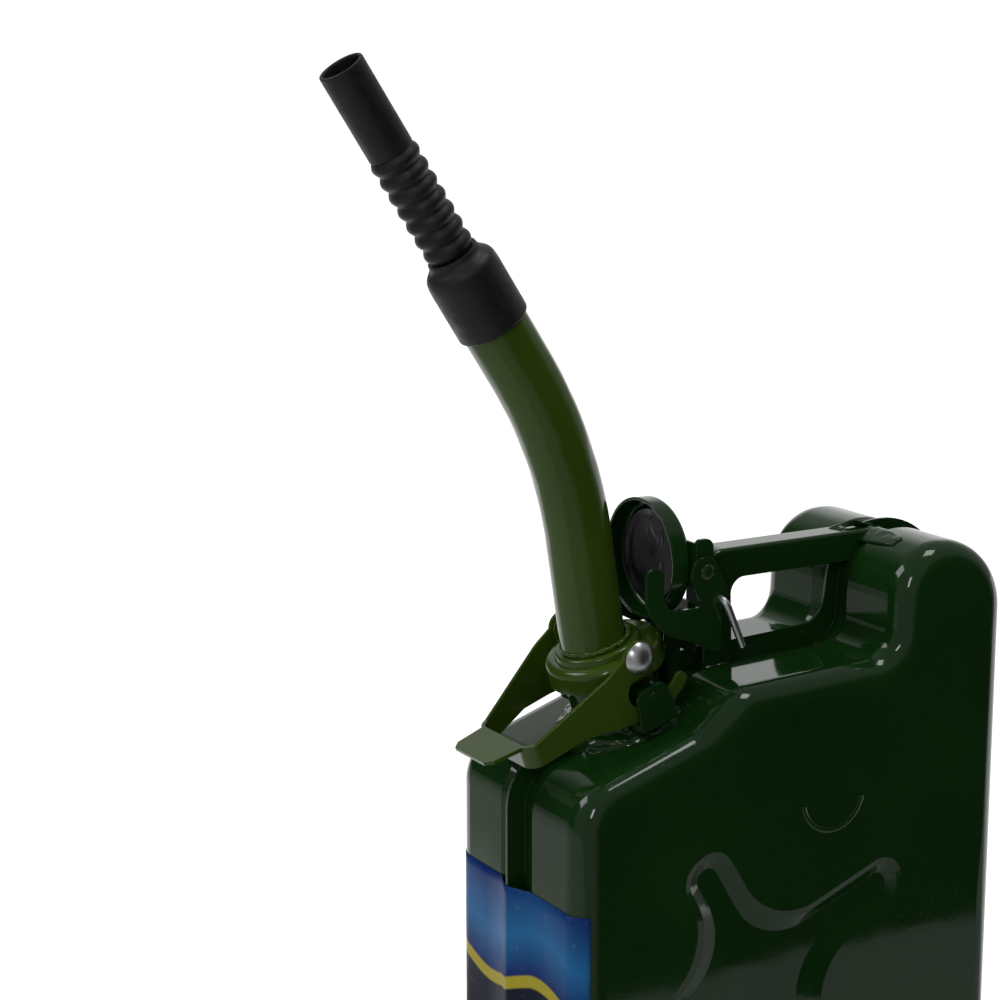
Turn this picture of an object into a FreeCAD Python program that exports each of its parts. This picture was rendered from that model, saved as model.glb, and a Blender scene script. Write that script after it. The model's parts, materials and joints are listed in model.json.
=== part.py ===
"""Ten-litre pressed-steel jerry can with a pouring spout clamped on its neck.

Frame: origin at the centre of the footprint, on the floor. +X runs from the pouring end to the
rear hump, Y is the can's thickness and +Z is up. Millimetres.
"""
import FreeCAD, Part
import math
import os

from FreeCAD import Rotation, Vector

# ---------------------------------------------------------------- driving dimensions
LENGTH = 280.0          # front face to rear face of the pressed lobes
THICKNESS = 130.0       # side face to side face
HUMP_Z = 372.0          # top of the rear hump
CROSS_X, CROSS_Z = -26.0, 153.0    # centre of the cross pressing
CROSS_ARMS = [(21, 86), (121, 64), (201, 70), (301, 86)]      # direction and reach
CROSS_CORNER_R = 38.0
CROSS_DEPTH = 4.2
RING_X, RING_Z = 20.0, 243.0      # raised arc on the side face
RING_R, RING_PROUD = 20.0, 0.6
SHEET = 0.9             # body sheet
LOBE_EDGE_R = 15.0      # rounding between a side face and the edges
SEAM_DEPTH = 5.0        # how far the lobes fall back to the seam
SEAM_SLOPE_Y = 16.0     # half-width of that fall
FIN_OUT = 6.0           # seam fin beyond the lobes
FLOOR_FRONT_Z = 308.0   # hand recess floor at its front end
SHOULDER_TILT = 18.1    # degrees, the pouring shoulder and so the neck

HANDLE_W = 18.0
HANDLE_H = 16.5
HANDLE_TOP_Z = 371.5
HANDLE_SHEET = 1.5
LEG_FRONT_X = -28.0

NECK_X, NECK_Z = -74.0, 285.2     # neck axis on the shoulder
NECK_R = 25.0
NECK_RIM_Z = 37.0                 # along the neck axis, all "neck" heights are
KEEPER_Z = 22.0
PIVOT_Z = 44.7

ARM_IN, ARM_OUT = 36.0, 38.0      # lever arms, distance from the centre plane
EAR_IN, EAR_OUT = 33.5, 35.6
RIVET_R = 3.0
RUNNING = 0.06                    # radial running clearance
HOOK_IN = PIVOT_Z - KEEPER_Z + RIVET_R + 0.6      # inner radius of the spout lever's hook

TUBE_R = 17.5
TUBE_SHEET = 1.2
NOZZLE_BORE_R = 9.8
NOZZLE_R = 11.9
HOSE_BORE_R = 10.3                # inside the bellows and the cuff's throat
FOOT_TILT = 8.9                   # degrees from upright, lower leg of the spout
SPOUT_TILT = 33.0                 # degrees from upright, upper leg
BEND_R = 240.0

CAP_Z = 371.0           # centre of the open cap
CAP_R = 32.5
CAP_BACK_X = -50.0
HINGE_X, HINGE_Z = -48.0, 331.5
CAP_PIVOT_X, CAP_PIVOT_Z = -45.8, 368.5
WIRE_R = 2.0
WIRE_X, WIRE_Z = -37.6, 353.5

X, Y, Z = Vector(1, 0, 0), Vector(0, 1, 0), Vector(0, 0, 1)


# ---------------------------------------------------------------- helpers
def rounded_wire(points):
    """Closed wire in the XZ plane through (x, z, corner radius) points."""
    edges = []
    count = len(points)
    tangents = []
    for i, (x, z, radius) in enumerate(points):
        here = Vector(x, 0, z)
        before = Vector(points[i - 1][0], 0, points[i - 1][1]) - here
        after = Vector(points[(i + 1) % count][0], 0, points[(i + 1) % count][1]) - here
        before.normalize()
        after.normalize()
        half = before.getAngle(after) / 2
        if radius == 0 or abs(half - math.pi / 2) < 1e-6:
            tangents.append((here, here, here))
            continue
        reach = radius / math.tan(half)
        bisector = before + after
        bisector.normalize()
        middle = here + bisector * (radius / math.sin(half) - radius)
        tangents.append((here + before * reach, middle, here + after * reach))
    for i in range(count):
        start, middle, end = tangents[i]
        if (start - end).Length > 1e-6:
            edges.append(Part.Arc(start, middle, end).toShape())
        following = tangents[(i + 1) % count][0]
        if (following - end).Length > 1e-6:
            edges.append(Part.makeLine(end, following))
    return Part.Wire(Part.__sortEdges__(edges))


def slab(wire, y0, y1):
    """Solid between two Y stations from a closed XZ wire."""
    face = Part.Face(wire)
    face.translate(Vector(0, y0, 0))
    return face.extrude(Vector(0, y1 - y0, 0))


def plate(points, y0, y1):
    return slab(rounded_wire(points), y0, y1)


def box(x0, x1, y0, y1, z0, z1):
    return Part.makeBox(x1 - x0, y1 - y0, z1 - z0, Vector(x0, y0, z0))


def rod(start, end, radius):
    axis = end - start
    return Part.makeCylinder(radius, axis.Length, start, axis)


def cross_rod(x, z, radius, y0, y1):
    return rod(Vector(x, y0, z), Vector(x, y1, z), radius)


def revolved(points, axis=Z):
    """Ring or disc turned from (radius, height, corner radius) points about an axis."""
    face = Part.Face(rounded_wire(points))
    solid = face.revolve(Vector(0, 0, 0), Z, 360)
    if axis is not Z:
        solid.Placement = FreeCAD.Placement(Vector(0, 0, 0), Rotation(Z, axis))
    return solid


def mirrored(shape):
    return shape.mirror(Vector(0, 0, 0), Y)


def both_sides(shape):
    return Part.makeCompound([shape, mirrored(shape)])


def placed(shape, place):
    """A copy moved rigidly, so round walls stay true cylinders."""
    moved = shape.copy()
    moved.Placement = place.multiply(moved.Placement)
    return moved


def neck_place():
    return FreeCAD.Placement(Vector(NECK_X, 0, NECK_Z), Rotation(Y, -SHOULDER_TILT))


def on_neck(shape):
    """Move a shape drawn about the neck axis (local Z) to its place on the shoulder."""
    return placed(shape, neck_place())


def save(name, shape):
    shape.exportStep("parts/" + name + ".step")
    box_ = shape.BoundBox
    print("%-18s solids %d  valid %s  volume %9.0f  z %.1f..%.1f" % (
        name, len(shape.Solids), shape.isValid(), shape.Volume, box_.ZMin, box_.ZMax))


# ---------------------------------------------------------------- body
def can_profile(inset):
    """Side profile of the lobes, drawn inward by inset."""
    half = LENGTH / 2 - inset
    tilt = math.tan(math.radians(SHOULDER_TILT))
    shoulder_drop = inset / math.cos(math.radians(SHOULDER_TILT))
    front_z = NECK_Z - tilt * (NECK_X + half) - shoulder_drop
    floor_z = FLOOR_FRONT_Z - inset
    return rounded_wire([
        (-half, inset, 26 - inset),
        (-half, front_z, 28 - inset),
        (-64, NECK_Z + tilt * (-64 - NECK_X) - shoulder_drop, 22 + inset),
        (-38, floor_z, 24 - inset),
        (64 + inset, floor_z + 4, 15 + inset),
        (66.5 + inset, HUMP_Z - inset, 32 - inset),
        (half, HUMP_Z - inset, 41 - inset),
        (half, inset, 26 - inset)])


def lobe(inset):
    """One half of the can out to its side face, falling back towards the seam."""
    side = THICKNESS / 2 - inset
    outer = slab(can_profile(inset), SEAM_SLOPE_Y, side)
    rim = [e for e in outer.Edges if abs(e.CenterOfMass.y - side) < 1e-3]
    outer = outer.makeFillet(LOBE_EDGE_R - inset, rim)
    wide, narrow = can_profile(inset), can_profile(inset + SEAM_DEPTH)
    wide.translate(Vector(0, SEAM_SLOPE_Y, 0))
    slope = Part.makeLoft([wide, narrow], True, False)
    return outer.fuse(slope).removeSplitter()


def cross_outline(half_width, y):
    """Outline of the side pressing, a cross with rounded ends and wide rounded inner corners."""
    corners = []
    for k, (degrees, reach) in enumerate(CROSS_ARMS):
        following = math.radians(CROSS_ARMS[(k + 1) % 4][0] - degrees) % (2 * math.pi)
        angle = math.radians(degrees)
        along = (math.cos(angle), math.sin(angle))
        left = (-along[1], along[0])
        end = reach + half_width
        inner = half_width * (1 + math.cos(following)) / math.sin(following)
        for distance, side, radius in (
                (end, -half_width, half_width * 0.9), (end, half_width, half_width * 0.9),
                (inner, half_width, CROSS_CORNER_R)):
            corners.append((CROSS_X + along[0] * distance + left[0] * side,
                            CROSS_Z + along[1] * distance + left[1] * side, radius))
    wire = rounded_wire(corners)
    wire.translate(Vector(0, y, 0))
    return wire


def cross_pressing(inset):
    """Volume taken out of the side face by the cross, with its walls sloped in an S."""
    face_y = THICKNESS / 2
    steps = [(17.0, 1.0), (16.0, 0.0), (12.5, -1.1), (8.5, -3.2), (6.5, -CROSS_DEPTH)]
    wires = [cross_outline(width + inset, face_y + depth - inset) for width, depth in steps]
    return Part.makeLoft(wires, True, True)


def side_arc(inset):
    """Lower arc of a raised ring on the side face."""
    bead_r = 2.0
    centre = Vector(RING_X, THICKNESS / 2 + RING_PROUD - bead_r - inset, RING_Z)
    ring = Part.makeTorus(RING_R, bead_r, centre, Y)
    return ring.common(box(RING_X - 30, RING_X + 30, 40, 80, RING_Z - 30, RING_Z - 4))


def fin_profile():
    """Outer edge of the seam fin."""
    half = LENGTH / 2 + FIN_OUT
    tilt = math.tan(math.radians(SHOULDER_TILT))
    front_z = NECK_Z + FIN_OUT - tilt * (NECK_X + half)
    return rounded_wire([
        (-half, 0, 30),
        (-half, front_z, 32),
        (-64, NECK_Z + FIN_OUT + tilt * (-64 - NECK_X), 20),
        (-42, FLOOR_FRONT_Z + 8, 22),
        (59, FLOOR_FRONT_Z + 12, 16),
        (66, HUMP_Z + 2.5, 34),
        (half, HUMP_Z + 2.5, 46),
        (half, 0, 30)])


def half_body():
    """Far half of the body: a pressed tray with the cross, the seam flange and the neck hole."""
    outer = lobe(0).cut(cross_pressing(0)).fuse(side_arc(0))
    inner = lobe(SHEET).cut(cross_pressing(SHEET))
    flange = slab(fin_profile(), 0, SHEET)
    inner_face = slab(can_profile(SEAM_DEPTH + SHEET), -1, SHEET)
    shell = outer.fuse(flange).cut(inner).cut(inner_face)
    neck_hole = on_neck(Part.makeCylinder(NECK_R, 40, Vector(0, 0, -20)))
    fin_gap = on_neck(Part.makeCylinder(33.5, 42, Vector(0, 0, -12)))
    upper_fin = flange.common(fin_gap).cut(slab(can_profile(SEAM_DEPTH), -1, SHEET + 1))
    return shell.cut(neck_hole).cut(upper_fin)


def can_solid():
    """The whole body as one closed volume with its fin, for trimming what stands on it."""
    far = lobe(0)
    return far.fuse(mirrored(far)).fuse(slab(fin_profile(), -SHEET, SHEET))


def label_sheet():
    """Printed label on the pouring end, tented over the seam fin."""
    x_face = -LENGTH / 2
    x_fin = -LENGTH / 2 - FIN_OUT
    inner = [(x_face, 50), (x_face, 15), (x_fin, 1.6), (x_fin, -1.6), (x_face, -15), (x_face, -50)]
    outer = [(x - 0.4, y * (1.02 if abs(y) < 20 else 1.0)) for x, y in reversed(inner)]
    corners = [Vector(x, y, 52) for x, y in inner + outer]
    face = Part.Face(Part.makePolygon(corners + corners[:1]))
    return face.extrude(Vector(0, 0, 150))


# ---------------------------------------------------------------- handle and hinge
def handle():
    """Pressed channel, open below, with its front end turned down into a leg."""
    bottom = HANDLE_TOP_Z - HANDLE_H
    side_points = [
        (LEG_FRONT_X, 296, 0), (LEG_FRONT_X, HANDLE_TOP_Z, 14), (95, HANDLE_TOP_Z, 0),
        (95, bottom, 0), (-10, bottom, 9), (-8, 296, 0)]
    half_w = HANDLE_W / 2
    solid = plate(side_points, -half_w, half_w)
    top_edges = [e for e in solid.Edges
                 if abs(abs(e.CenterOfMass.y) - half_w) < 1e-3 and e.CenterOfMass.z > bottom + 4
                 and e.CenterOfMass.x < 90]
    solid = solid.makeFillet(2.5, top_edges)
    t = HANDLE_SHEET
    hollow = plate([
        (LEG_FRONT_X + t, 290, 0), (LEG_FRONT_X + t, HANDLE_TOP_Z - t, 12.5),
        (99, HANDLE_TOP_Z - t, 0), (99, bottom - 3, 0), (-10, bottom - 3, 0), (-5, 290, 0)],
        -half_w + t, half_w - t)
    return solid.cut(hollow).cut(can_solid())


def handle_weld():
    """Two lumpy weld beads where the leg stands on the recess floor."""
    half_w = HANDLE_W / 2
    bead = rod(Vector(LEG_FRONT_X + 1, half_w + 1.2, 306.8), Vector(-11, half_w + 1.2, 307.4), 1.2)
    return both_sides(bead.cut(can_solid()))


def hinge_bracket():
    """Post in front of the handle leg, forked for the cap's hinge pin."""
    outline = [
        (HINGE_X + 4.8, 290, 0), (HINGE_X + 4.8, HINGE_Z + 4.8, 4.6), (HINGE_X - 4.8, HINGE_Z + 4.8, 4.6),
        (HINGE_X - 4.3, HINGE_Z - 8, 0), (HINGE_X - 1.5, 290, 0)]
    post = plate(outline, -10, 10)
    fork = box(HINGE_X - 8, HINGE_X + 8, -7.4, 7.4, HINGE_Z - 6, HINGE_Z + 8)
    post = post.cut(fork).cut(can_solid()).cut(neck_weld())
    return post.cut(cross_rod(HINGE_X, HINGE_Z, 2.5, -12, 12))


def hinge_pin():
    pin = cross_rod(HINGE_X, HINGE_Z, 2.5, -11.5, 11.5)
    for y0, y1 in ((-12.5, -10), (10, 12.5)):
        pin = pin.fuse(cross_rod(HINGE_X, HINGE_Z, 3.8, y0, y1))
    return pin.removeSplitter()


# ---------------------------------------------------------------- cap
def cap():
    """Dished cap, laid open: mouth towards -X."""
    depth = 13.5
    sheet = 1.5
    cup = revolved([
        (0, -sheet, 0), (CAP_R - 0.2, -sheet, 4), (CAP_R, -depth, 0), (CAP_R - sheet, -depth, 0),
        (CAP_R - sheet, -sheet * 2, 3), (0, -sheet * 2, 0)], X)
    cup.translate(Vector(CAP_BACK_X, 0, CAP_Z))
    return cup


def cap_gasket():
    """Black rubber disc with a raised ring, seated in the cap."""
    back = -3.0
    ring = revolved([
        (0, back, 0), (CAP_R - 4.7, back, 0), (CAP_R - 4.7, back - 2.2, 0.8), (CAP_R - 7, back - 3.6, 1),
        (CAP_R - 10, back - 2.2, 0.8), (0, back - 2.2, 0)], X)
    ring.translate(Vector(CAP_BACK_X, 0, CAP_Z))
    return ring


def cap_bracket():
    """Strap on the cap's back: two ears for the lever and a tongue rolled round the hinge pin."""
    back = CAP_BACK_X - 1.5
    strap = box(back, back + 1.6, -EAR_OUT, EAR_OUT, 360, 384)
    strap = strap.fuse(box(back, back + 1.6, -7, 7, HINGE_Z + 1, 366))
    ear = plate([
        (back, 359, 3), (-40.5, 359, 5), (-40.5, 386, 5), (back, 386, 3)], EAR_IN, EAR_OUT)
    ear = ear.cut(cross_rod(CAP_PIVOT_X, CAP_PIVOT_Z, RIVET_R, 30, 40))
    knuckle = cross_rod(HINGE_X, HINGE_Z, 4.2, -7, 7)
    strap = strap.fuse(ear).fuse(mirrored(ear)).fuse(knuckle)
    strap = strap.cut(cross_rod(HINGE_X, HINGE_Z, 2.5 + RUNNING, -12, 12))
    disc = Part.makeCylinder(CAP_R + 0.01, 1.6, Vector(back - 1.6, 0, CAP_Z), X)
    return strap.cut(disc).removeSplitter()


def cap_lever():
    """U-shaped clamping lever: two hooked arms joined by a web behind the hinge."""
    px, pz = CAP_PIVOT_X, CAP_PIVOT_Z
    web_x0, web_x1 = -38.5, -36.5
    outline = [
        (-84, 374, 5), (-73, 374, 5), (-73, 350, 8), (-48, 350, 2.5), (-56, 366, 8),
        (px - 8, pz + 8.5, 8), (px + 3, pz + 8.5, 7), (-32.2, 357, 3), (-33.5, 349, 3),
        (web_x1, 347.5, 1), (web_x1, 325, 1), (-42, 325, 4), (-56, 332, 20), (-72, 338, 18),
        (-84, 352, 14)]
    arm = plate(outline, ARM_IN, ARM_OUT)
    arm = arm.cut(cross_rod(px, pz, RIVET_R + RUNNING, 30, 42))
    arm = arm.cut(cross_rod(WIRE_X, WIRE_Z, WIRE_R + RUNNING, 30, 42))
    web = box(web_x0, web_x1, -ARM_OUT, ARM_OUT, 326, 346)
    lip = plate([(web_x0, 318, 0.9), (web_x0, 330, 0), (web_x1, 330, 0), (web_x1, 318, 0.9)], -15, 15)
    return arm.fuse(mirrored(arm)).fuse(web).fuse(lip).removeSplitter()


def rivet(x, z, head_r, head_h, y_in, y_head):
    """Domed rivet along +Y: shank from y_in, head from y_head outward."""
    shank = cross_rod(x, z, RIVET_R, y_in, y_head + 0.5)
    sphere_r = (head_r ** 2 + head_h ** 2) / (2 * head_h)
    ball = Part.makeSphere(sphere_r, Vector(x, y_head + head_h - sphere_r, z))
    dome = ball.common(cross_rod(x, z, head_r, y_head, y_head + head_h + 1))
    inner = cross_rod(x, z, RIVET_R + 0.55, y_in - 1.2, y_in)
    return shank.fuse(dome).fuse(inner).removeSplitter()


def lock_pin():
    """Bent wire that hangs in the near arm of the cap's lever."""
    y_hole, y_leg = -33.9, -43.0
    bend = 5.0
    end = Vector(WIRE_X + 11.5, y_leg, WIRE_Z - 26.5)
    down = end - Vector(WIRE_X, y_leg, WIRE_Z)
    down.normalize()
    corner = Vector(WIRE_X, y_leg, WIRE_Z)
    start = Vector(WIRE_X, y_hole, WIRE_Z)
    a, b = corner + Y * bend, corner + down * bend
    centre = a + down * bend
    middle = centre + (corner - centre).normalize() * bend
    path = Part.Wire([Part.makeLine(start, a), Part.Arc(a, middle, b).toShape(),
                      Part.makeLine(b, end)])
    section = Part.Wire(Part.makeCircle(WIRE_R, start, Y))
    wire = path.makePipeShell([section], True, False)
    head = rod(Vector(WIRE_X, -35.5, WIRE_Z), Vector(WIRE_X, y_hole + 0.6, WIRE_Z), WIRE_R + 0.9)
    return wire.fuse(head).removeSplitter()


# ---------------------------------------------------------------- neck
def neck():
    """Neck tube with a flared foot and a rolled rim."""
    tube = revolved([
        (NECK_R - SHEET, -14, 0), (NECK_R, -14, 0), (NECK_R, NECK_RIM_Z - 5, 1),
        (NECK_R + 3, NECK_RIM_Z - 4, 1.2), (NECK_R + 3, NECK_RIM_Z, 1.6),
        (NECK_R - SHEET, NECK_RIM_Z, 0.8)])
    return on_neck(tube)


def neck_weld():
    """Flared weld collar between the neck and the shoulder."""
    ring = revolved([(NECK_R, -9, 0), (32.5, -9, 0), (32.5, 0.4, 2), (29, 2.2, 2), (NECK_R, 5.5, 0)])
    return on_neck(ring).cut(can_solid())


def keeper():
    """Keeper on the neck's far side: a foot, and a plate outside the lever arm."""
    foot = plate([(-12, 5.6, 1), (-12, 10.2, 1), (12, 10.2, 1), (12, 5.6, 1)], NECK_R - 4, 40.5)
    wall = plate([(-12, 5.6, 1), (-9, 27, 5), (9, 29, 5), (12, 5.6, 1)], ARM_OUT + 0.7, 40.7)
    bracket = foot.fuse(wall).cut(Part.makeCylinder(NECK_R, 60, Vector(0, 0, -10)))
    bracket = bracket.cut(cross_rod(0, KEEPER_Z, RIVET_R, 20, 50))
    return bracket.removeSplitter()


def keeper_bar():
    """Bar that the lever's hook pulls on."""
    bar = cross_rod(0, KEEPER_Z, RIVET_R, NECK_R - 4, 41.5)
    return bar.cut(Part.makeCylinder(NECK_R, 60, Vector(0, 0, -10)))


def breather_tube():
    """Air pipe held against the inside of the neck wall."""
    x = NECK_R - SHEET - 4.0
    pipe = Part.makeCylinder(4.0, 62, Vector(x, 0, -30)).cut(
        Part.makeCylinder(3.2, 62, Vector(x, 0, -30)))
    return on_neck(pipe)


# ---------------------------------------------------------------- spout
FOOT = Vector(-92.5, 0, 326.7)
FOOT_DIR = Vector(-math.sin(math.radians(FOOT_TILT)), 0, math.cos(math.radians(FOOT_TILT)))
SPOUT_DIR = Vector(-math.sin(math.radians(SPOUT_TILT)), 0, math.cos(math.radians(SPOUT_TILT)))
BEND_START = FOOT + FOOT_DIR * 59.0
BEND_CENTRE = BEND_START - Vector(FOOT_DIR.z, 0, -FOOT_DIR.x) * BEND_R
BEND_END = BEND_CENTRE + Vector(SPOUT_DIR.z, 0, -SPOUT_DIR.x) * BEND_R
CUFF_FROM, CUFF_TO = 29.0, 73.0          # along the upper leg, from the end of the bend
BELLOWS_TO, TIP_TO = 134.0, 183.0


def spout_path(start, end_along):
    mid_tilt = math.radians((FOOT_TILT + SPOUT_TILT) / 2)
    middle = BEND_CENTRE + Vector(math.cos(mid_tilt), 0, math.sin(mid_tilt)) * BEND_R
    return Part.Wire([
        Part.makeLine(start, BEND_START),
        Part.Arc(BEND_START, middle, BEND_END).toShape(),
        Part.makeLine(BEND_END, BEND_END + SPOUT_DIR * end_along)])


def bent_rod(radius, below, end_along):
    start = FOOT - FOOT_DIR * below
    section = Part.Wire(Part.makeCircle(radius, start, FOOT_DIR))
    return spout_path(start, end_along).makePipeShell([section], True, False)


def spout_base():
    """Dished cup that covers the neck, with two ears for the lever."""
    cup = revolved([
        (0, 41, 0), (30.8, 41, 2.4), (30.8, 30, 0), (32.2, 30, 0), (32.2, 43, 4.4), (0, 43, 0)])
    ear = plate([(-8, 34, 3), (-8, PIVOT_Z + 8, 7.5), (8, PIVOT_Z + 8, 7.5), (8, 34, 3)],
                EAR_IN, EAR_OUT)
    web = plate([(-8, 34, 3), (-8, 41, 3), (8, 41, 3), (8, 34, 3)], 30, EAR_OUT)
    web = web.cut(Part.makeCylinder(31.2, 60))
    ear = ear.fuse(web).cut(cross_rod(0, PIVOT_Z, RIVET_R, 30, 40))
    base = on_neck(cup.fuse(ear).fuse(mirrored(ear)).removeSplitter())
    return base.cut(bent_rod(TUBE_R, 14, 5))


def spout_gasket():
    ring = revolved([(NECK_R - 1, NECK_RIM_Z, 0), (28.2, NECK_RIM_Z, 0), (28.2, 41, 0), (NECK_R - 1, 41, 0)])
    return on_neck(ring)


def spout_tube():
    outer = bent_rod(TUBE_R, 8, CUFF_TO - 12)
    return outer.cut(bent_rod(TUBE_R - TUBE_SHEET, 20, CUFF_TO))


def spout_collar():
    """Pressed ring at the foot of the tube."""
    ring = revolved([
        (TUBE_R - 2, 43, 0), (TUBE_R + 6.5, 43, 0), (TUBE_R + 5.5, 46.5, 1.8), (TUBE_R - 2, 47, 0)])
    ring.translate(Vector(-2.2, 0, 0))
    return on_neck(ring).cut(bent_rod(TUBE_R, 14, 5))


def spout_weld():
    """Weld bead round the tube above the collar."""
    bead = Part.makeTorus(TUBE_R + 0.9, 1.7, Vector(-2.6, 0, 48.0), Z)
    bead = on_neck(bead)
    return bead.cut(bent_rod(TUBE_R, 14, 5)).cut(spout_collar())


def lever_outline(hook_in, hook_out):
    """Side view of a spout lever arm, about its pivot: lobe, hooked heel, straight arm."""
    def polar(radius, degrees):
        return radius * math.cos(math.radians(degrees)), radius * math.sin(math.radians(degrees))
    lobe_r = 9.5
    notch = -9.5
    tip_angle = -47.0
    inner_tip, outer_tip = polar(hook_in, tip_angle), polar(hook_out, tip_angle)
    inner_foot, outer_foot = polar(hook_in, -112), polar(hook_out, -100)
    points = [
        Vector(lobe_r, 0, 0), Vector(notch + 1.5, 0, -10.5), Vector(notch - 3.0, 0, -17.0),
        Vector(inner_foot[0], 0, inner_foot[1])]
    edges = [Part.Arc(points[0], Vector(lobe_r * 0.6, 0, -lobe_r * 0.8), Vector(1.0, 0, -lobe_r)).toShape(),
             Part.makeLine(Vector(1.0, 0, -lobe_r), points[1]),
             Part.Arc(points[1], points[2], points[3]).toShape()]
    mid_in = polar(hook_in, -80)
    edges.append(Part.Arc(points[3], Vector(mid_in[0], 0, mid_in[1]),
                          Vector(inner_tip[0], 0, inner_tip[1])).toShape())
    tip_mid = polar((hook_in + hook_out) / 2, tip_angle + 7.0)
    edges.append(Part.Arc(Vector(inner_tip[0], 0, inner_tip[1]), Vector(tip_mid[0], 0, tip_mid[1]),
                          Vector(outer_tip[0], 0, outer_tip[1])).toShape())
    mid_out = polar(hook_out, -75)
    edges.append(Part.Arc(Vector(outer_tip[0], 0, outer_tip[1]), Vector(mid_out[0], 0, mid_out[1]),
                          Vector(outer_foot[0], 0, outer_foot[1])).toShape())
    chain = [Vector(outer_foot[0], 0, outer_foot[1]), Vector(-40, 0, -29.5), Vector(-66, 0, -34.5),
             Vector(-76, 0, -34.5), Vector(-76, 0, -22.0), Vector(-66, 0, -22.0), Vector(-9.0, 0, 3.0)]
    edges += [Part.makeLine(a, b) for a, b in zip(chain, chain[1:])]
    edges.append(Part.Arc(chain[-1], Vector(0, 0, lobe_r), points[0]).toShape())
    return Part.Wire(Part.__sortEdges__(edges))


def lever_plan(inset):
    """Plan of the spout lever, as a prism: parallel arms that draw in to a narrow front."""
    half, front_half = ARM_OUT - inset, 25.0 - inset
    front = -72.0 + inset
    wire = rounded_wire([
        (60, -half, 0), (-20, -half, 14), (front, -front_half, 9 - inset),
        (front, front_half, 9 - inset), (-20, half, 14), (60, half, 0)])
    wire.rotate(Vector(0, 0, 0), X, -90)
    return Part.Face(wire).extrude(Vector(0, 0, 80)).translated(Vector(0, 0, -50))


def spout_lever():
    """U-shaped clamping lever of the spout, drawn locked, with a thumb tab in front."""
    side = slab(lever_outline(HOOK_IN, HOOK_IN + 7.2), -60, 60)
    arms = side.common(lever_plan(0).cut(lever_plan(2.0)))
    tab_points = [Vector(-70.5, -21, -24), Vector(-88, -19, -24), Vector(-92, -15, -24),
                  Vector(-92, 15, -24), Vector(-88, 19, -24), Vector(-70.5, 21, -24)]
    tab = Part.Face(Part.makePolygon(tab_points + tab_points[:1])).extrude(Vector(0, 0, 2))
    lever = arms.fuse(tab)
    lever.translate(Vector(0, 0, PIVOT_Z))
    lever = lever.cut(cross_rod(0, PIVOT_Z, RIVET_R + RUNNING, -45, 45))
    return on_neck(lever.removeSplitter())


def along_spout(shape):
    """Move a shape drawn about local Z to the upper leg of the spout."""
    return placed(shape, FreeCAD.Placement(BEND_END, Rotation(Y, -SPOUT_TILT)))


def nozzle_cuff():
    """Rubber sleeve gripped on the end of the steel tube."""
    sleeve = revolved([
        (TUBE_R, CUFF_FROM, 0), (19.4, CUFF_FROM, 1), (19.4, CUFF_TO - 9, 5), (13.4, CUFF_TO - 2.5, 3),
        (13.4, CUFF_TO, 0), (HOSE_BORE_R, CUFF_TO, 0), (HOSE_BORE_R, CUFF_TO - 5, 0),
        (TUBE_R - 2, CUFF_TO - 12, 0), (TUBE_R, CUFF_TO - 12, 0)])
    return along_spout(sleeve)


def nozzle_bellows():
    """Ribbed flexible length of the rubber nozzle."""
    ribs = 7
    crest, valley = 13.1, 11.3
    step = (BELLOWS_TO - CUFF_TO) / ribs
    points = [(HOSE_BORE_R, CUFF_TO, 0), (valley, CUFF_TO, 0)]
    for i in range(ribs):
        base = CUFF_TO + i * step
        points += [
            (crest, base + step * 0.3, 1.2), (crest, base + step * 0.72, 1.2), (valley, base + step, 0)]
    points.append((HOSE_BORE_R, BELLOWS_TO, 0))
    return along_spout(revolved(points))


def nozzle_tip():
    tip = revolved([
        (NOZZLE_BORE_R, BELLOWS_TO, 0), (NOZZLE_R, BELLOWS_TO, 0), (NOZZLE_R, TIP_TO, 0.8),
        (NOZZLE_BORE_R, TIP_TO, 0.8)])
    return along_spout(tip)


# ---------------------------------------------------------------- build
def build():
    os.makedirs("parts", exist_ok=True)
    far = half_body()
    save("body_far", far)
    save("body_near", mirrored(far))
    save("label", label_sheet())
    save("handle", handle())
    save("handle_weld", handle_weld())
    save("hinge_bracket", hinge_bracket())
    save("hinge_pin", hinge_pin())

    save("cap", cap())
    save("cap_gasket", cap_gasket())
    save("cap_bracket", cap_bracket())
    save("cap_lever", cap_lever())
    save("cap_rivets", both_sides(rivet(CAP_PIVOT_X, CAP_PIVOT_Z, 4.6, 1.8, EAR_IN, ARM_OUT + 0.3)))
    save("lock_pin", lock_pin())

    save("neck", neck())
    save("neck_weld", neck_weld())
    save("keeper_far", on_neck(keeper()))
    save("keeper_near", on_neck(mirrored(keeper())))
    save("keeper_bars", on_neck(both_sides(keeper_bar())))
    save("breather_tube", breather_tube())

    save("spout_base", spout_base())
    save("spout_gasket", spout_gasket())
    save("spout_tube", spout_tube())
    save("spout_collar", spout_collar())
    save("spout_weld", spout_weld())
    save("spout_lever", spout_lever())
    save("spout_rivets", on_neck(both_sides(rivet(0, PIVOT_Z, 8.8, 4.6, EAR_IN, ARM_OUT + 0.3))))
    save("nozzle_cuff", nozzle_cuff())
    save("nozzle_bellows", nozzle_bellows())
    save("nozzle_tip", nozzle_tip())


build()
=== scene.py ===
"""Jerry can with a clamped-on pouring spout: materials, fine pieces, floor, light and camera."""
import json
import math

import bmesh
import bpy
from mathutils import Matrix, Vector, noise


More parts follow.
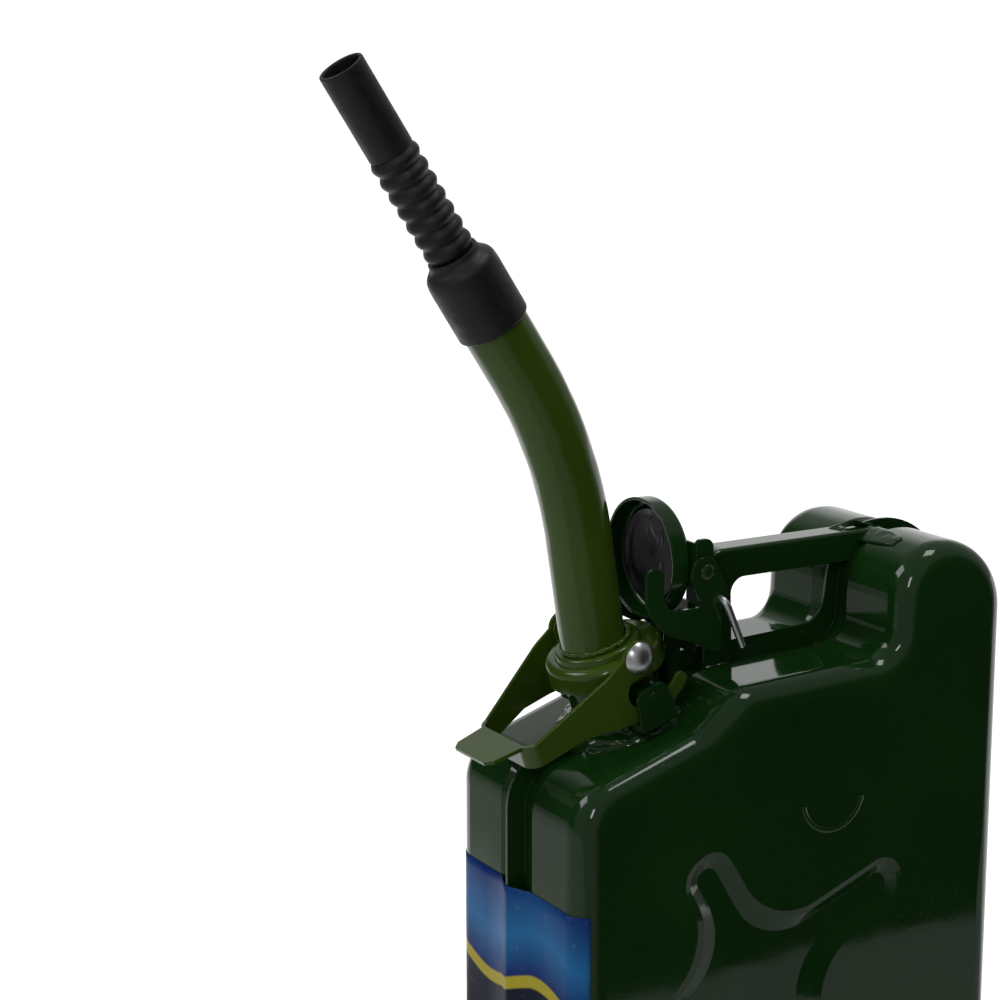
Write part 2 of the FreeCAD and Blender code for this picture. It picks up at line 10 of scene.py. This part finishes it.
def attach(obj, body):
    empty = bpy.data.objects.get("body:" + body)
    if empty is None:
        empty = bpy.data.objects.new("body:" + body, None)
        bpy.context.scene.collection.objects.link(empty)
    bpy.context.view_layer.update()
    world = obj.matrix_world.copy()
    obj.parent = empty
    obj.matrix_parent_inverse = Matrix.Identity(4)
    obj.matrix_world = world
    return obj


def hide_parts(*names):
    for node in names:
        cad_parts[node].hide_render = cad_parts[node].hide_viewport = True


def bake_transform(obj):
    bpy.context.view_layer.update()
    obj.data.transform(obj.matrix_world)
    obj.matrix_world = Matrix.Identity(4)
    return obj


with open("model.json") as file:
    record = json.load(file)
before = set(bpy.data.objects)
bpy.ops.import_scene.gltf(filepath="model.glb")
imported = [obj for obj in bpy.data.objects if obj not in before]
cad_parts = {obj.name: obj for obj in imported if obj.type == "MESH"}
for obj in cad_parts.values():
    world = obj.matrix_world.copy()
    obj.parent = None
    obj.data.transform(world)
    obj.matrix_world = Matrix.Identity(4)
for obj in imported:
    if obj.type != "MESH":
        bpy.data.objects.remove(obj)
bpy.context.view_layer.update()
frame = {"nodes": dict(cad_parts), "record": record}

NODES = frame["nodes"]
MM = 0.001
ACROSS = Vector((0, 1, 0))


def leaning(tilt):
    """Unit vector in the seam plane, tipped from straight up toward the pouring end."""
    return Vector((-math.sin(tilt), 0, math.cos(tilt)))


def beside(along):
    """Unit vector in the seam plane, square to a leaning one, toward the rear."""
    return Vector((along.z, 0, -along.x))


# Neck and spout, as in the CAD model.
NECK_FOOT = Vector((-74.0, 0, 285.2)) * MM
NECK_DIR = leaning(math.radians(18.1))
FOOT_TILT, SPOUT_TILT = math.radians(8.9), math.radians(33)
FOOT = Vector((-92.5, 0, 326.7)) * MM
FOOT_DIR, SPOUT_DIR = leaning(FOOT_TILT), leaning(SPOUT_TILT)
FOOT_LENGTH = 59 * MM
BEND_R = 240 * MM
BEND_CENTRE = FOOT + FOOT_DIR * FOOT_LENGTH - beside(FOOT_DIR) * BEND_R
BEND_END = BEND_CENTRE + beside(SPOUT_DIR) * BEND_R
TUBE_R, TUBE_BORE = 17.5, 16.3

# Rubber nozzle: radii, and places along the spout from the end of its bend, in millimetres.
CUFF_START, TUBE_END, BELLOWS_START, BELLOWS_END, TIP_END = 29, 61, 73, 134, 182.95
CUFF_R, TIP_R, NOZZLE_BORE, TIP_BORE = 19.4, 11.9, 10.3, 9.8


# ---------------------------------------------------------------- shader helpers
class Graph:
    """A node tree, with short calls for the nodes used here."""

    def __init__(self, tree, coords):
        self.tree = tree
        self.coords = tree.nodes.new("ShaderNodeTexCoord").outputs[coords]

    def node(self, kind, **inputs):
        made = self.tree.nodes.new(kind)
        for key, value in inputs.items():
            self.feed(made.inputs[key], value)
        return made

    def feed(self, socket, value):
        if isinstance(value, bpy.types.NodeSocket):
            self.tree.links.new(value, socket)
        else:
            socket.default_value = value

    def noise(self, scale, detail=3.0, stretch=None):
        """Noise of about scale lumps to the metre; stretch scales it along X, Y and Z."""
        made = self.node("ShaderNodeTexNoise", Scale=scale, Detail=detail)
        source = self.coords
        if stretch:
            source = self.node("ShaderNodeMapping", Vector=source, Scale=stretch).outputs["Vector"]
        self.feed(made.inputs["Vector"], source)
        return made.outputs["Fac"]

    def ramp(self, factor, stops):
        """Colour or grey by factor, from (place, colour) stops."""
        made = self.node("ShaderNodeValToRGB", Fac=factor)
        band = made.color_ramp
        while len(band.elements) < len(stops):
            band.elements.new(0.5)
        for element, (place, colour) in zip(band.elements, stops):
            element.position = place
            if isinstance(colour, (int, float)):
                colour = (colour, colour, colour)
            element.color = (*colour, 1.0)
        return made.outputs["Color"]

    def mix(self, factor, a, b, blend="MIX"):
        made = self.tree.nodes.new("ShaderNodeMix")
        made.data_type = "RGBA"
        made.blend_type = blend
        self.feed(made.inputs[0], factor)
        for socket, value in ((made.inputs[6], a), (made.inputs[7], b)):
            if isinstance(value, tuple):
                value = (*value, 1.0)
            self.feed(socket, value)
        return made.outputs[2]

    def math(self, operation, a, b=0.0):
        made = self.tree.nodes.new("ShaderNodeMath")
        made.operation = operation
        self.feed(made.inputs[0], a)
        self.feed(made.inputs[1], b)
        return made.outputs[0]

    def dot(self, a, b):
        made = self.tree.nodes.new("ShaderNodeVectorMath")
        made.operation = "DOT_PRODUCT"
        self.feed(made.inputs[0], a)
        self.feed(made.inputs[1], b)
        return made.outputs["Value"]


class Shader(Graph):
    """A material built round one Principled shader."""

    def __init__(self, name):
        self.material = bpy.data.materials.new(name)
        self.material.use_nodes = True
        super().__init__(self.material.node_tree, "Object")
        self.bsdf = self.tree.nodes["Principled BSDF"]

    def bump(self, height, distance, strength=1.0, under=None):
        """Normal over the one under it; distance is the height of the relief in metres."""
        made = self.node("ShaderNodeBump", Height=height, Distance=distance, Strength=strength)
        if under is not None:
            self.feed(made.inputs["Normal"], under)
        return made.outputs["Normal"]

    def set(self, **values):
        for key, value in values.items():
            if isinstance(value, tuple):
                value = (*value, 1.0)
            self.feed(self.bsdf.inputs[key.replace("_", " ")], value)


# ---------------------------------------------------------------- materials
def paint(name, deep, light, edge_highlight, gloss):
    """Sprayed gloss paint: orange peel, slow waviness, dust nibs, softened edges with a painted highlight.

    Its colour drifts from deep to light and is lightened in patches at sharp edges as a painted highlight;
    gloss is its least roughness.
    """
    s = Shader(name)
    softened = s.node("ShaderNodeBevel", Radius=0.7 * MM)
    softened.samples = 4
    flat = s.node("ShaderNodeNewGeometry").outputs["Normal"]
    at_edge = s.math("SUBTRACT", 1.0, s.dot(softened.outputs["Normal"], flat))
    # Painted highlight: sharp edges turn in patches toward a lighter colour, standing in for the light the
    # edges catch.
    edge_highlight_mask = s.ramp(at_edge, [(0.03, 0.0), (0.22, 0.4)])
    patchy_edge_highlight = s.math("MULTIPLY", edge_highlight_mask, s.ramp(s.noise(160.0, 5.0), [(0.4, 0.0), (0.62, 1.0)]))
    drift = s.ramp(s.noise(9.0, 4.0), [(0.35, deep), (0.7, light)])
    s.set(Base_Color=s.mix(patchy_edge_highlight, drift, edge_highlight))
    s.set(Roughness=s.ramp(s.noise(24.0, 3.0), [(0.3, gloss), (0.75, gloss + 0.05)]))
    peel = s.bump(s.noise(620.0, 2.0), 0.009 * MM, 1.0, softened.outputs["Normal"])
    waves = s.bump(s.noise(26.0, 1.0), 0.4 * MM, 0.5, peel)
    nibs = s.ramp(s.noise(900.0, 0.0), [(0.74, 0.0), (0.8, 1.0)])
    s.set(Normal=s.bump(nibs, 0.03 * MM, 0.5, waves))
    s.set(Specular_IOR_Level=0.42, Coat_Weight=0.06, Coat_Roughness=0.04)
    return s.material


def rubber(name):
    """Moulded black rubber with a faint bloom."""
    s = Shader(name)
    bloom = s.ramp(s.noise(70.0, 6.0), [(0.35, (0.006, 0.0056, 0.0056)), (0.75, (0.013, 0.012, 0.012))])
    s.set(Base_Color=bloom)
    s.set(Roughness=s.ramp(s.noise(220.0, 5.0), [(0.3, 0.42), (0.7, 0.6)]))
    grain = s.bump(s.noise(1500.0, 3.0), 0.08 * MM)
    s.set(Normal=s.bump(s.noise(60.0, 2.0), 0.2 * MM, 0.5, grain))
    return s.material


def liner(name):
    """Dark glossy seal liner with faint pressed marks."""
    s = Shader(name)
    near_black, charcoal = (0.0016, 0.0017, 0.0018), (0.004, 0.0042, 0.0042)
    s.set(Base_Color=s.ramp(s.noise(80.0, 4.0), [(0.35, near_black), (0.75, charcoal)]))
    s.set(Roughness=s.ramp(s.noise(120.0, 3.0), [(0.3, 0.22), (0.7, 0.34)]))
    marks = s.ramp(s.noise(150.0, 1.0, (1, 1, 0.35)), [(0.6, 0.0), (0.68, 1.0)])
    s.set(Normal=s.bump(s.noise(60.0, 2.0), 0.3 * MM, 0.5, s.bump(marks, 0.4 * MM, 0.6)))
    s.set(Specular_IOR_Level=0.35)
    return s.material


def zinc(name):
    """Drawn and plated steel."""
    s = Shader(name)
    s.set(Base_Color=s.ramp(s.noise(90.0, 5.0), [(0.3, (0.5, 0.5, 0.51)), (0.7, (0.72, 0.72, 0.73))]))
    s.set(Roughness=s.ramp(s.noise(300.0, 4.0, (1, 1, 0.1)), [(0.3, 0.2), (0.7, 0.38)]))
    s.set(Normal=s.bump(s.noise(700.0, 3.0, (1, 1, 0.15)), 0.05 * MM))
    s.set(Metallic=1.0)
    return s.material


def label_print(name):
    """Sky-blue to deep-blue print over a dark foot, parted by a waved yellow band."""
    foot, height = 50 * MM, 155 * MM
    wave_rate, wave_depth = 62.0, 6 * MM
    navy, yellow = (0.006, 0.01, 0.03), (0.62, 0.52, 0.04)
    deep, sky, scuffed = (0.004, 0.03, 0.2), (0.02, 0.2, 0.5), (0.25, 0.3, 0.36)
    s = Shader(name)
    place = s.node("ShaderNodeSeparateXYZ", Vector=s.coords).outputs
    wave = s.math("MULTIPLY", s.math("SINE", s.math("MULTIPLY", place["Y"], wave_rate)), wave_depth)
    above_foot = s.math("SUBTRACT", s.math("ADD", place["Z"], wave), foot)
    bands = s.ramp(s.math("MULTIPLY", above_foot, 1 / height), [
        (0.0, navy), (0.6, navy), (0.605, yellow), (0.645, yellow), (0.65, deep), (0.8, sky), (1.0, deep)])
    scuffs = s.ramp(s.noise(240.0, 6.0), [(0.62, 0.0), (0.8, 0.35)])
    s.set(Base_Color=s.mix(scuffs, bands, scuffed))
    s.set(Roughness=s.ramp(s.noise(60.0, 4.0), [(0.3, 0.38), (0.7, 0.5)]))
    s.set(Normal=s.bump(s.noise(45.0, 3.0), 0.4 * MM, 0.5))
    s.set(Specular_IOR_Level=0.15)
    return s.material


# Each paint's lighter edge colour is a painted highlight.
GREEN = paint("green_gloss", deep=(0.0062, 0.037, 0.0055), light=(0.0095, 0.05, 0.008),
              edge_highlight=(0.03, 0.11, 0.03), gloss=0.05)
OLIVE = paint("olive_gloss", deep=(0.046, 0.094, 0.006), light=(0.06, 0.118, 0.008),
              edge_highlight=(0.13, 0.2, 0.04), gloss=0.12)
BY_SLOT = {"green_paint": GREEN, "olive_paint": OLIVE, "black_rubber": rubber("black_rubber"),
           "zinc": zinc("zinc_steel"), "label_print": label_print("label_print")}

for part in frame["record"]["subparts"]:
    obj = NODES[part["node"]]
    obj.data.materials.clear()
    obj.data.materials.append(BY_SLOT[part["material_slot"]])
NODES["cap_gasket"].data.materials[0] = liner("cap_liner")


# ---------------------------------------------------------------- mesh helpers
def shade_smooth(mesh):
    for face in mesh.polygons:
        face.use_smooth = True


def add_piece(name, mesh, slot, body, replaced=()):
    """Finish a new piece: smooth shading, the material of its slot, its body, and hiding the nodes it
    stands for.
    """
    shade_smooth(mesh)
    piece = bpy.data.objects.new(name, mesh)
    bpy.context.scene.collection.objects.link(piece)
    mesh.materials.append(BY_SLOT[slot])
    if body:
        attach(piece, body)
    if replaced:
        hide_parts(*replaced)
    return piece


def skin(name, rings, closed_loop=False):
    """Quads over a list of equal rings; a closed loop joins the last ring to the first, and
    otherwise both ends are capped."""
    work = bmesh.new()
    grid = [[work.verts.new(point) for point in ring] for ring in rings]
    count = len(grid[0])
    pairs = list(zip(grid, grid[1:]))
    if closed_loop:
        pairs.append((grid[-1], grid[0]))
    for low, high in pairs:
        for i in range(count):
            j = (i + 1) % count
            work.faces.new((low[i], low[j], high[j], high[i]))
    if not closed_loop:
        bmesh.ops.holes_fill(work, edges=work.edges)
    bmesh.ops.recalc_face_normals(work, faces=work.faces)
    mesh = bpy.data.meshes.new(name)
    work.to_mesh(mesh)
    work.free()
    return mesh


def lathe(name, profile_mm, origin, axis, around=96):
    """Closed profile of (radius, height) points, in millimetres, turned about an axis."""
    turn = axis.to_track_quat("Z", "Y").to_matrix()
    rings = []
    for radius, height in profile_mm:
        ring = []
        for i in range(around):
            a = 2 * math.pi * i / around
            point = Vector((radius * MM * math.cos(a), radius * MM * math.sin(a), height * MM))
            ring.append(origin + turn @ point)
        rings.append(ring)
    return skin(name, rings, closed_loop=True)


def rounded(points, steps=5):
    """Round each (radius, height, corner) of a closed profile with a short curve."""
    most = 0.48  # of the side beside a corner, so that two curves never meet
    out = []
    count = len(points)
    for i, (r, h, corner) in enumerate(points):
        here = Vector((r, h))
        before = Vector(points[i - 1][:2]) - here
        after = Vector(points[(i + 1) % count][:2]) - here
        a = here + before.normalized() * min(corner, before.length * most)
        b = here + after.normalized() * min(corner, after.length * most)
        for k in range(steps + 1):
            t = k / steps
            point = a * (1 - t) ** 2 + here * 2 * t * (1 - t) + b * t ** 2
            out.append((point.x, point.y))
    return out


# ---------------------------------------------------------------- spout and nozzle
def make_nozzle_part(name, profile, body, replaced):
    mesh = lathe(name, profile, BEND_END, SPOUT_DIR)
    return add_piece(name, mesh, "black_rubber", body, [replaced])


def make_nozzle():
    """Rubber cuff, ribbed length and tip."""
    shoulder = 62
    cuff = rounded([
        (TUBE_R, CUFF_START, 0.6), (CUFF_R, CUFF_START, 1.2), (CUFF_R, shoulder, 4.5), (18.2, 66, 2.5),
        (14.2, 69.5, 2.0), (13.4, BELLOWS_START, 0.3), (NOZZLE_BORE, BELLOWS_START, 0.3),
        (NOZZLE_BORE, 68, 0.5), (15.5, TUBE_END, 0.5), (TUBE_R, TUBE_END, 0.3)])
    make_nozzle_part("nozzle_cuff_skin", cuff, "can", "nozzle_cuff")

    crest, valley, ribs, per_rib, inner_steps = 13.1, 11.2, 7, 14, 40
    fullness = 0.6  # below 1 the crests are broad and the valleys narrow
    length, steps = BELLOWS_END - BELLOWS_START, ribs * per_rib
    outside = []
    for i in range(steps + 1):
        wave = 0.5 - 0.5 * math.cos(2 * math.pi * i / per_rib)
        radius = valley + (crest - valley) * wave ** fullness
        outside.append((radius, BELLOWS_START + length * i / steps))
    inside = [(NOZZLE_BORE, BELLOWS_END - length * i / inner_steps) for i in range(inner_steps + 1)]
    bellows = make_nozzle_part("nozzle_bellows_skin", outside + inside, None, "nozzle_bellows")
    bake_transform(bellows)

    rim = TIP_END - 0.95
    tip = rounded([
        (TIP_BORE, BELLOWS_END, 0.2), (TIP_R, BELLOWS_END, 0.4), (TIP_R, rim, 1.0),
        (TIP_R - 0.2, TIP_END, 0.6), (TIP_BORE + 0.4, TIP_END, 0.6), (TIP_BORE, rim, 0.6)])
    make_nozzle_part("nozzle_tip_skin", tip, "nozzle_tip", "nozzle_tip")


def make_tube():
    """Bent steel tube with the slight flats that bending leaves."""
    hidden = 8 * MM  # the tube starts this far down inside its collar
    straight_steps, bend_steps, around = 24, 48, 96
    flat_depth, straight_share = 0.35, 0.2
    stations = []
    for i in range(straight_steps):
        reach = (FOOT_LENGTH + hidden) * i / straight_steps - hidden
        stations.append((FOOT + FOOT_DIR * reach, FOOT_DIR))
    for i in range(bend_steps):
        along = leaning(FOOT_TILT + (SPOUT_TILT - FOOT_TILT) * i / bend_steps)
        stations.append((BEND_CENTRE + beside(along) * BEND_R, along))
    for i in range(straight_steps + 1):
        stations.append((BEND_END + SPOUT_DIR * TUBE_END * MM * i / straight_steps, SPOUT_DIR))

    def ring(index, radius):
        place, along = stations[index]
        bent = straight_steps <= index < straight_steps + bend_steps
        share = 1.0 if bent else straight_share
        points = []
        for k in range(around):
            a = 2 * math.pi * k / around
            side = beside(along) * math.cos(a) + ACROSS * math.sin(a)
            dent = flat_depth * noise.noise(Vector((index * 0.12, 2.2 * math.cos(a), 2.2 * math.sin(a))))
            points.append(place + side * (radius + min(dent, 0.0) * share) * MM)
        return points

    rings = [ring(i, TUBE_R) for i in range(len(stations))]
    rings += [ring(i, TUBE_BORE) for i in reversed(range(len(stations)))]
    add_piece("spout_tube_skin", skin("spout_tube_skin", rings, closed_loop=True), "olive_paint",
              "can", ["spout_tube"])


# ---------------------------------------------------------------- welds
def make_weld(node, slot, voxel, lump, scale):
    """Lumpy bead over a CAD weld solid: voxel and lump in millimetres, scale in lumps to the metre."""
    mesh = NODES[node].data.copy()
    mesh.materials.clear()
    piece = add_piece(node + "_bead", mesh, slot, "can", [node])
    remesh = piece.modifiers.new("remesh", "REMESH")
    remesh.mode = "VOXEL"
    remesh.voxel_size = voxel * MM
    final = bpy.data.meshes.new_from_object(
        piece.evaluated_get(bpy.context.evaluated_depsgraph_get()))
    piece.modifiers.clear()
    for vertex in final.vertices:
        wobble = noise.noise(vertex.co * scale) + 0.5 * noise.noise(vertex.co * scale * 2.3)
        vertex.co += vertex.normal * wobble * lump * MM
    shade_smooth(final)
    piece.data = final
    smooth = piece.modifiers.new("smooth", "SMOOTH")
    smooth.iterations = 3


def make_neck_collar():
    """Broad run of weld, smoothed over by paint, between the neck and the shoulder."""
    neck_r = 24.4
    still_r, full_width = 25.5, 8.0  # the lumps start at this radius and are full this much further out
    profile = rounded([
        (neck_r, 9.5, 0.5), (26.2, 9.5, 1.2), (30.0, 5.0, 4.0), (36.5, 2.4, 2.5), (38.5, -2.5, 1.0),
        (neck_r, -7.0, 0.5)])
    mesh = lathe("neck_collar", profile, NECK_FOOT, NECK_DIR, 180)
    for vertex in mesh.vertices:
        out = vertex.co - NECK_FOOT
        out -= NECK_DIR * out.dot(NECK_DIR)
        reach = max(0.0, min(1.0, (out.length / MM - still_r) / full_width))
        lump = noise.noise(vertex.co * 85) * 2.0 + noise.noise(vertex.co * 210) * 0.9
        vertex.co += (out.normalized() * 0.9 + NECK_DIR * 0.7) * lump * reach * MM
    add_piece("neck_collar", mesh, "green_paint", "can", ["neck_weld"])


# ---------------------------------------------------------------- sheet pieces, in millimetres
def make_label():
    """Printed sheet: flat on both lobes, tented over the fin, turned round the side corners."""
    face_x, fin_x, fin_y, lobe_y, edge = -140.0, -146.0, 1.6, 15.0, 50.0
    corner_r, wrap, wrap_steps = 15.0, math.radians(58), 8
    foot_z, height, row_count = 52.0, 150.0, 25
    lift, thick, crinkle_depth = 0.15, 0.25, 0.12
    half = [(fin_x, 0.0), (fin_x, fin_y), (face_x, lobe_y), (face_x, 32.0), (face_x, edge)]
    for k in range(1, wrap_steps + 1):
        a = wrap * k / wrap_steps
        half.append((face_x + corner_r * (1 - math.cos(a)), edge + corner_r * math.sin(a)))
    line = [(x, -y) for x, y in reversed(half[1:])] + half
    rows = []
    for k in range(row_count):
        z = foot_z + height * k / (row_count - 1)
        row = []
        for level, order in ((lift, line), (lift + thick, reversed(line))):
            for x, y in order:
                a = math.asin(max(0.0, min(1.0, (abs(y) - edge) / corner_r)))
                crinkle = crinkle_depth * noise.noise(Vector((x * 0.2, y * 0.12, z * 0.07)))
                out = level + max(0.0, crinkle)
                row.append(Vector((x - out * math.cos(a), y + math.copysign(out * math.sin(a), y), z)) * MM)
        rows.append(row)
    add_piece("label_skin", skin("label_skin", rows), "label_print", "can", ["label"])


def make_fin_fold():
    """Folded end of the seam flange on the hump, where the handle runs in."""
    start_x, length, base_z, rise = 62.0, 42.0, 368.0, 4.0
    row_count, around = 33, 24
    rows = []
    for i in range(row_count):
        t = i / (row_count - 1)
        x = start_x + length * t
        foot_z = base_z + rise * math.sin(math.pi * min(1.0, t * 1.25))
        height = (1.0 + 4.2 * math.sin(math.pi * t) ** 0.7) * (1.0 + 0.22 * math.sin(19 * t))
        lean = 4.2 * math.sin(7.5 * t + 0.4) * (1.0 - 0.4 * t)
        row = []
        for k in range(around):
            a = 2 * math.pi * k / around
            up = 0.5 - 0.5 * math.cos(a)
            width = math.sin(a) * (1.5 - 0.6 * up)
            lump = 0.5 * noise.noise(Vector((x * 0.22, up * 3.0, k * 0.02)))
            row.append(Vector((x, width + lean * up ** 1.4 + lump, foot_z + height * up * 0.66)) * MM)
        rows.append(row)
    add_piece("fin_fold", skin("fin_fold", rows), "green_paint", "can")


def make_hump_flap():
    """Folded flap of sheet that lies across the near side of the hump, over its front curve."""
    curve_x, curve_z, curve_r = 98.5, 340.0, 32.0  # the hump's front curve
    start_y, reach, row_count, columns = -2.0, 33.0, 25, 13
    lower, upper = 0.2, 1.7  # heights of the flap's two faces over the curve
    rows = []
    for i in range(row_count):
        t = i / (row_count - 1)
        y = start_y - reach * t
        front = 77.5 + 3.0 * t ** 3
        back = 88.5 + 1.5 * math.sin(math.pi * t) - 1.5 * t ** 4
        row = []
        for level, order in ((upper, range(columns)), (lower, reversed(range(columns)))):
            for k in order:
                u = k / (columns - 1)
                x = front + (back - front) * u
                curl = 0.9 * (1 - u) ** 3 * math.sin(2.2 * t + 0.5)
                z = curve_z + math.sqrt(curve_r ** 2 - (curve_x - x) ** 2) + level + curl
                row.append(Vector((x, y, z + 0.3 * noise.noise(Vector((x * 0.2, y * 0.2, 0))))) * MM)
        rows.append(row)
    add_piece("hump_flap", skin("hump_flap", rows), "green_paint", "can")


make_nozzle()
make_tube()
make_hump_flap()
make_label()
make_fin_fold()
make_neck_collar()
make_weld("spout_weld", "olive_paint", voxel=0.5, lump=0.9, scale=260)
make_weld("handle_weld", "green_paint", voxel=0.4, lump=0.6, scale=320)


# ---------------------------------------------------------------- floor, light, camera
def make_floor():
    """Pale floor that ends a little in front of the can and glows white behind it."""
    near, far, half_width = -0.36, 30.0, 30.0
    mesh = bpy.data.meshes.new("floor")
    corners = [(-half_width, near, 0), (half_width, near, 0), (half_width, far, 0), (-half_width, far, 0)]
    mesh.from_pydata(corners, [], [(0, 1, 2, 3)])
    floor = bpy.data.objects.new("floor", mesh)
    bpy.context.scene.collection.objects.link(floor)
    s = Shader("pale_floor")
    place = s.node("ShaderNodeSeparateXYZ", Vector=s.coords).outputs
    # Both edges of the glow are straight lines on the floor, in metres.
    past_can = s.math("ADD", place["Y"], s.math("MULTIPLY", place["X"], 0.593))
    behind = s.ramp(past_can, [(0.12, 0.0), (0.25, 1.0)])
    past_left = s.math("ADD", place["X"], s.math("MULTIPLY", place["Y"], 0.25))
    inside = s.ramp(s.math("ADD", past_left, 1.2), [(0.9, 0.0), (0.99, 1.0)])
    glow = s.math("MULTIPLY", s.math("MULTIPLY", behind, inside), 0.85)
    s.set(Base_Color=s.ramp(s.noise(4.0), [(0.3, 0.8), (0.7, 0.84)]))
    s.set(Roughness=0.9, Emission_Color=(1.0, 1.0, 1.0), Emission_Strength=glow)
    mesh.materials.append(s.material)


def make_light(name, place, size, energy):
    """Rectangular lamp aimed at the middle of the can."""
    aim = Vector((0, 0, 0.3))
    data = bpy.data.lights.new(name, "AREA")
    data.shape = "RECTANGLE"
    data.size, data.size_y = size
    data.energy = energy
    light = bpy.data.objects.new(name, data)
    light.location = place
    light.rotation_euler = (aim - Vector(place)).to_track_quat("-Z", "Y").to_euler()
    bpy.context.scene.collection.objects.link(light)


def make_world():
    """Pale room, white behind the can, with dark flags where its flat faces would mirror it."""
    white_side, flag_side = (0.5, 0.86, 0.05), (0.5, -0.866, 0.0)
    world = bpy.data.worlds.new("studio")
    bpy.context.scene.world = world
    bpy.context.scene.view_settings.view_transform = "Standard"
    world.use_nodes = True
    g = Graph(world.node_tree, "Generated")
    room = g.ramp(g.dot(g.coords, white_side), [(0.0, 0.24), (0.6, 0.28), (0.82, 0.4), (0.92, 1.0)])
    flags = g.ramp(g.math("ABSOLUTE", g.dot(g.coords, flag_side)), [(0.66, 1.0), (0.84, 0.08)])
    back = g.tree.nodes["Background"]
    g.feed(back.inputs["Color"], g.mix(1.0, room, flags, "MULTIPLY"))
    g.feed(back.inputs["Strength"], 1.05)


def make_camera():
    place = (-0.75596, -1.04067, 0.66376)
    right, up = Vector((0.86382, -0.50380, -0.00204)), Vector((0.10496, 0.17599, 0.97878))
    back = Vector((-0.49275, -0.84570, 0.20490))
    data = bpy.data.cameras.new("camera")
    data.lens = 86.4
    data.sensor_width = 36.0
    camera = bpy.data.objects.new("camera", data)
    camera.matrix_world = Matrix.Translation(place) @ Matrix((right, up, back)).transposed().to_4x4()
    bpy.context.scene.collection.objects.link(camera)
    bpy.context.scene.camera = camera


make_floor()
make_world()
make_light("key", (-1.5, 0.9, 1.9), (1.0, 0.7), 9)
make_light("fill", (-1.6, -1.5, 1.5), (0.2, 0.7), 5)
make_light("top", (0.4, -0.3, 2.2), (0.6, 0.6), 7)
make_camera()
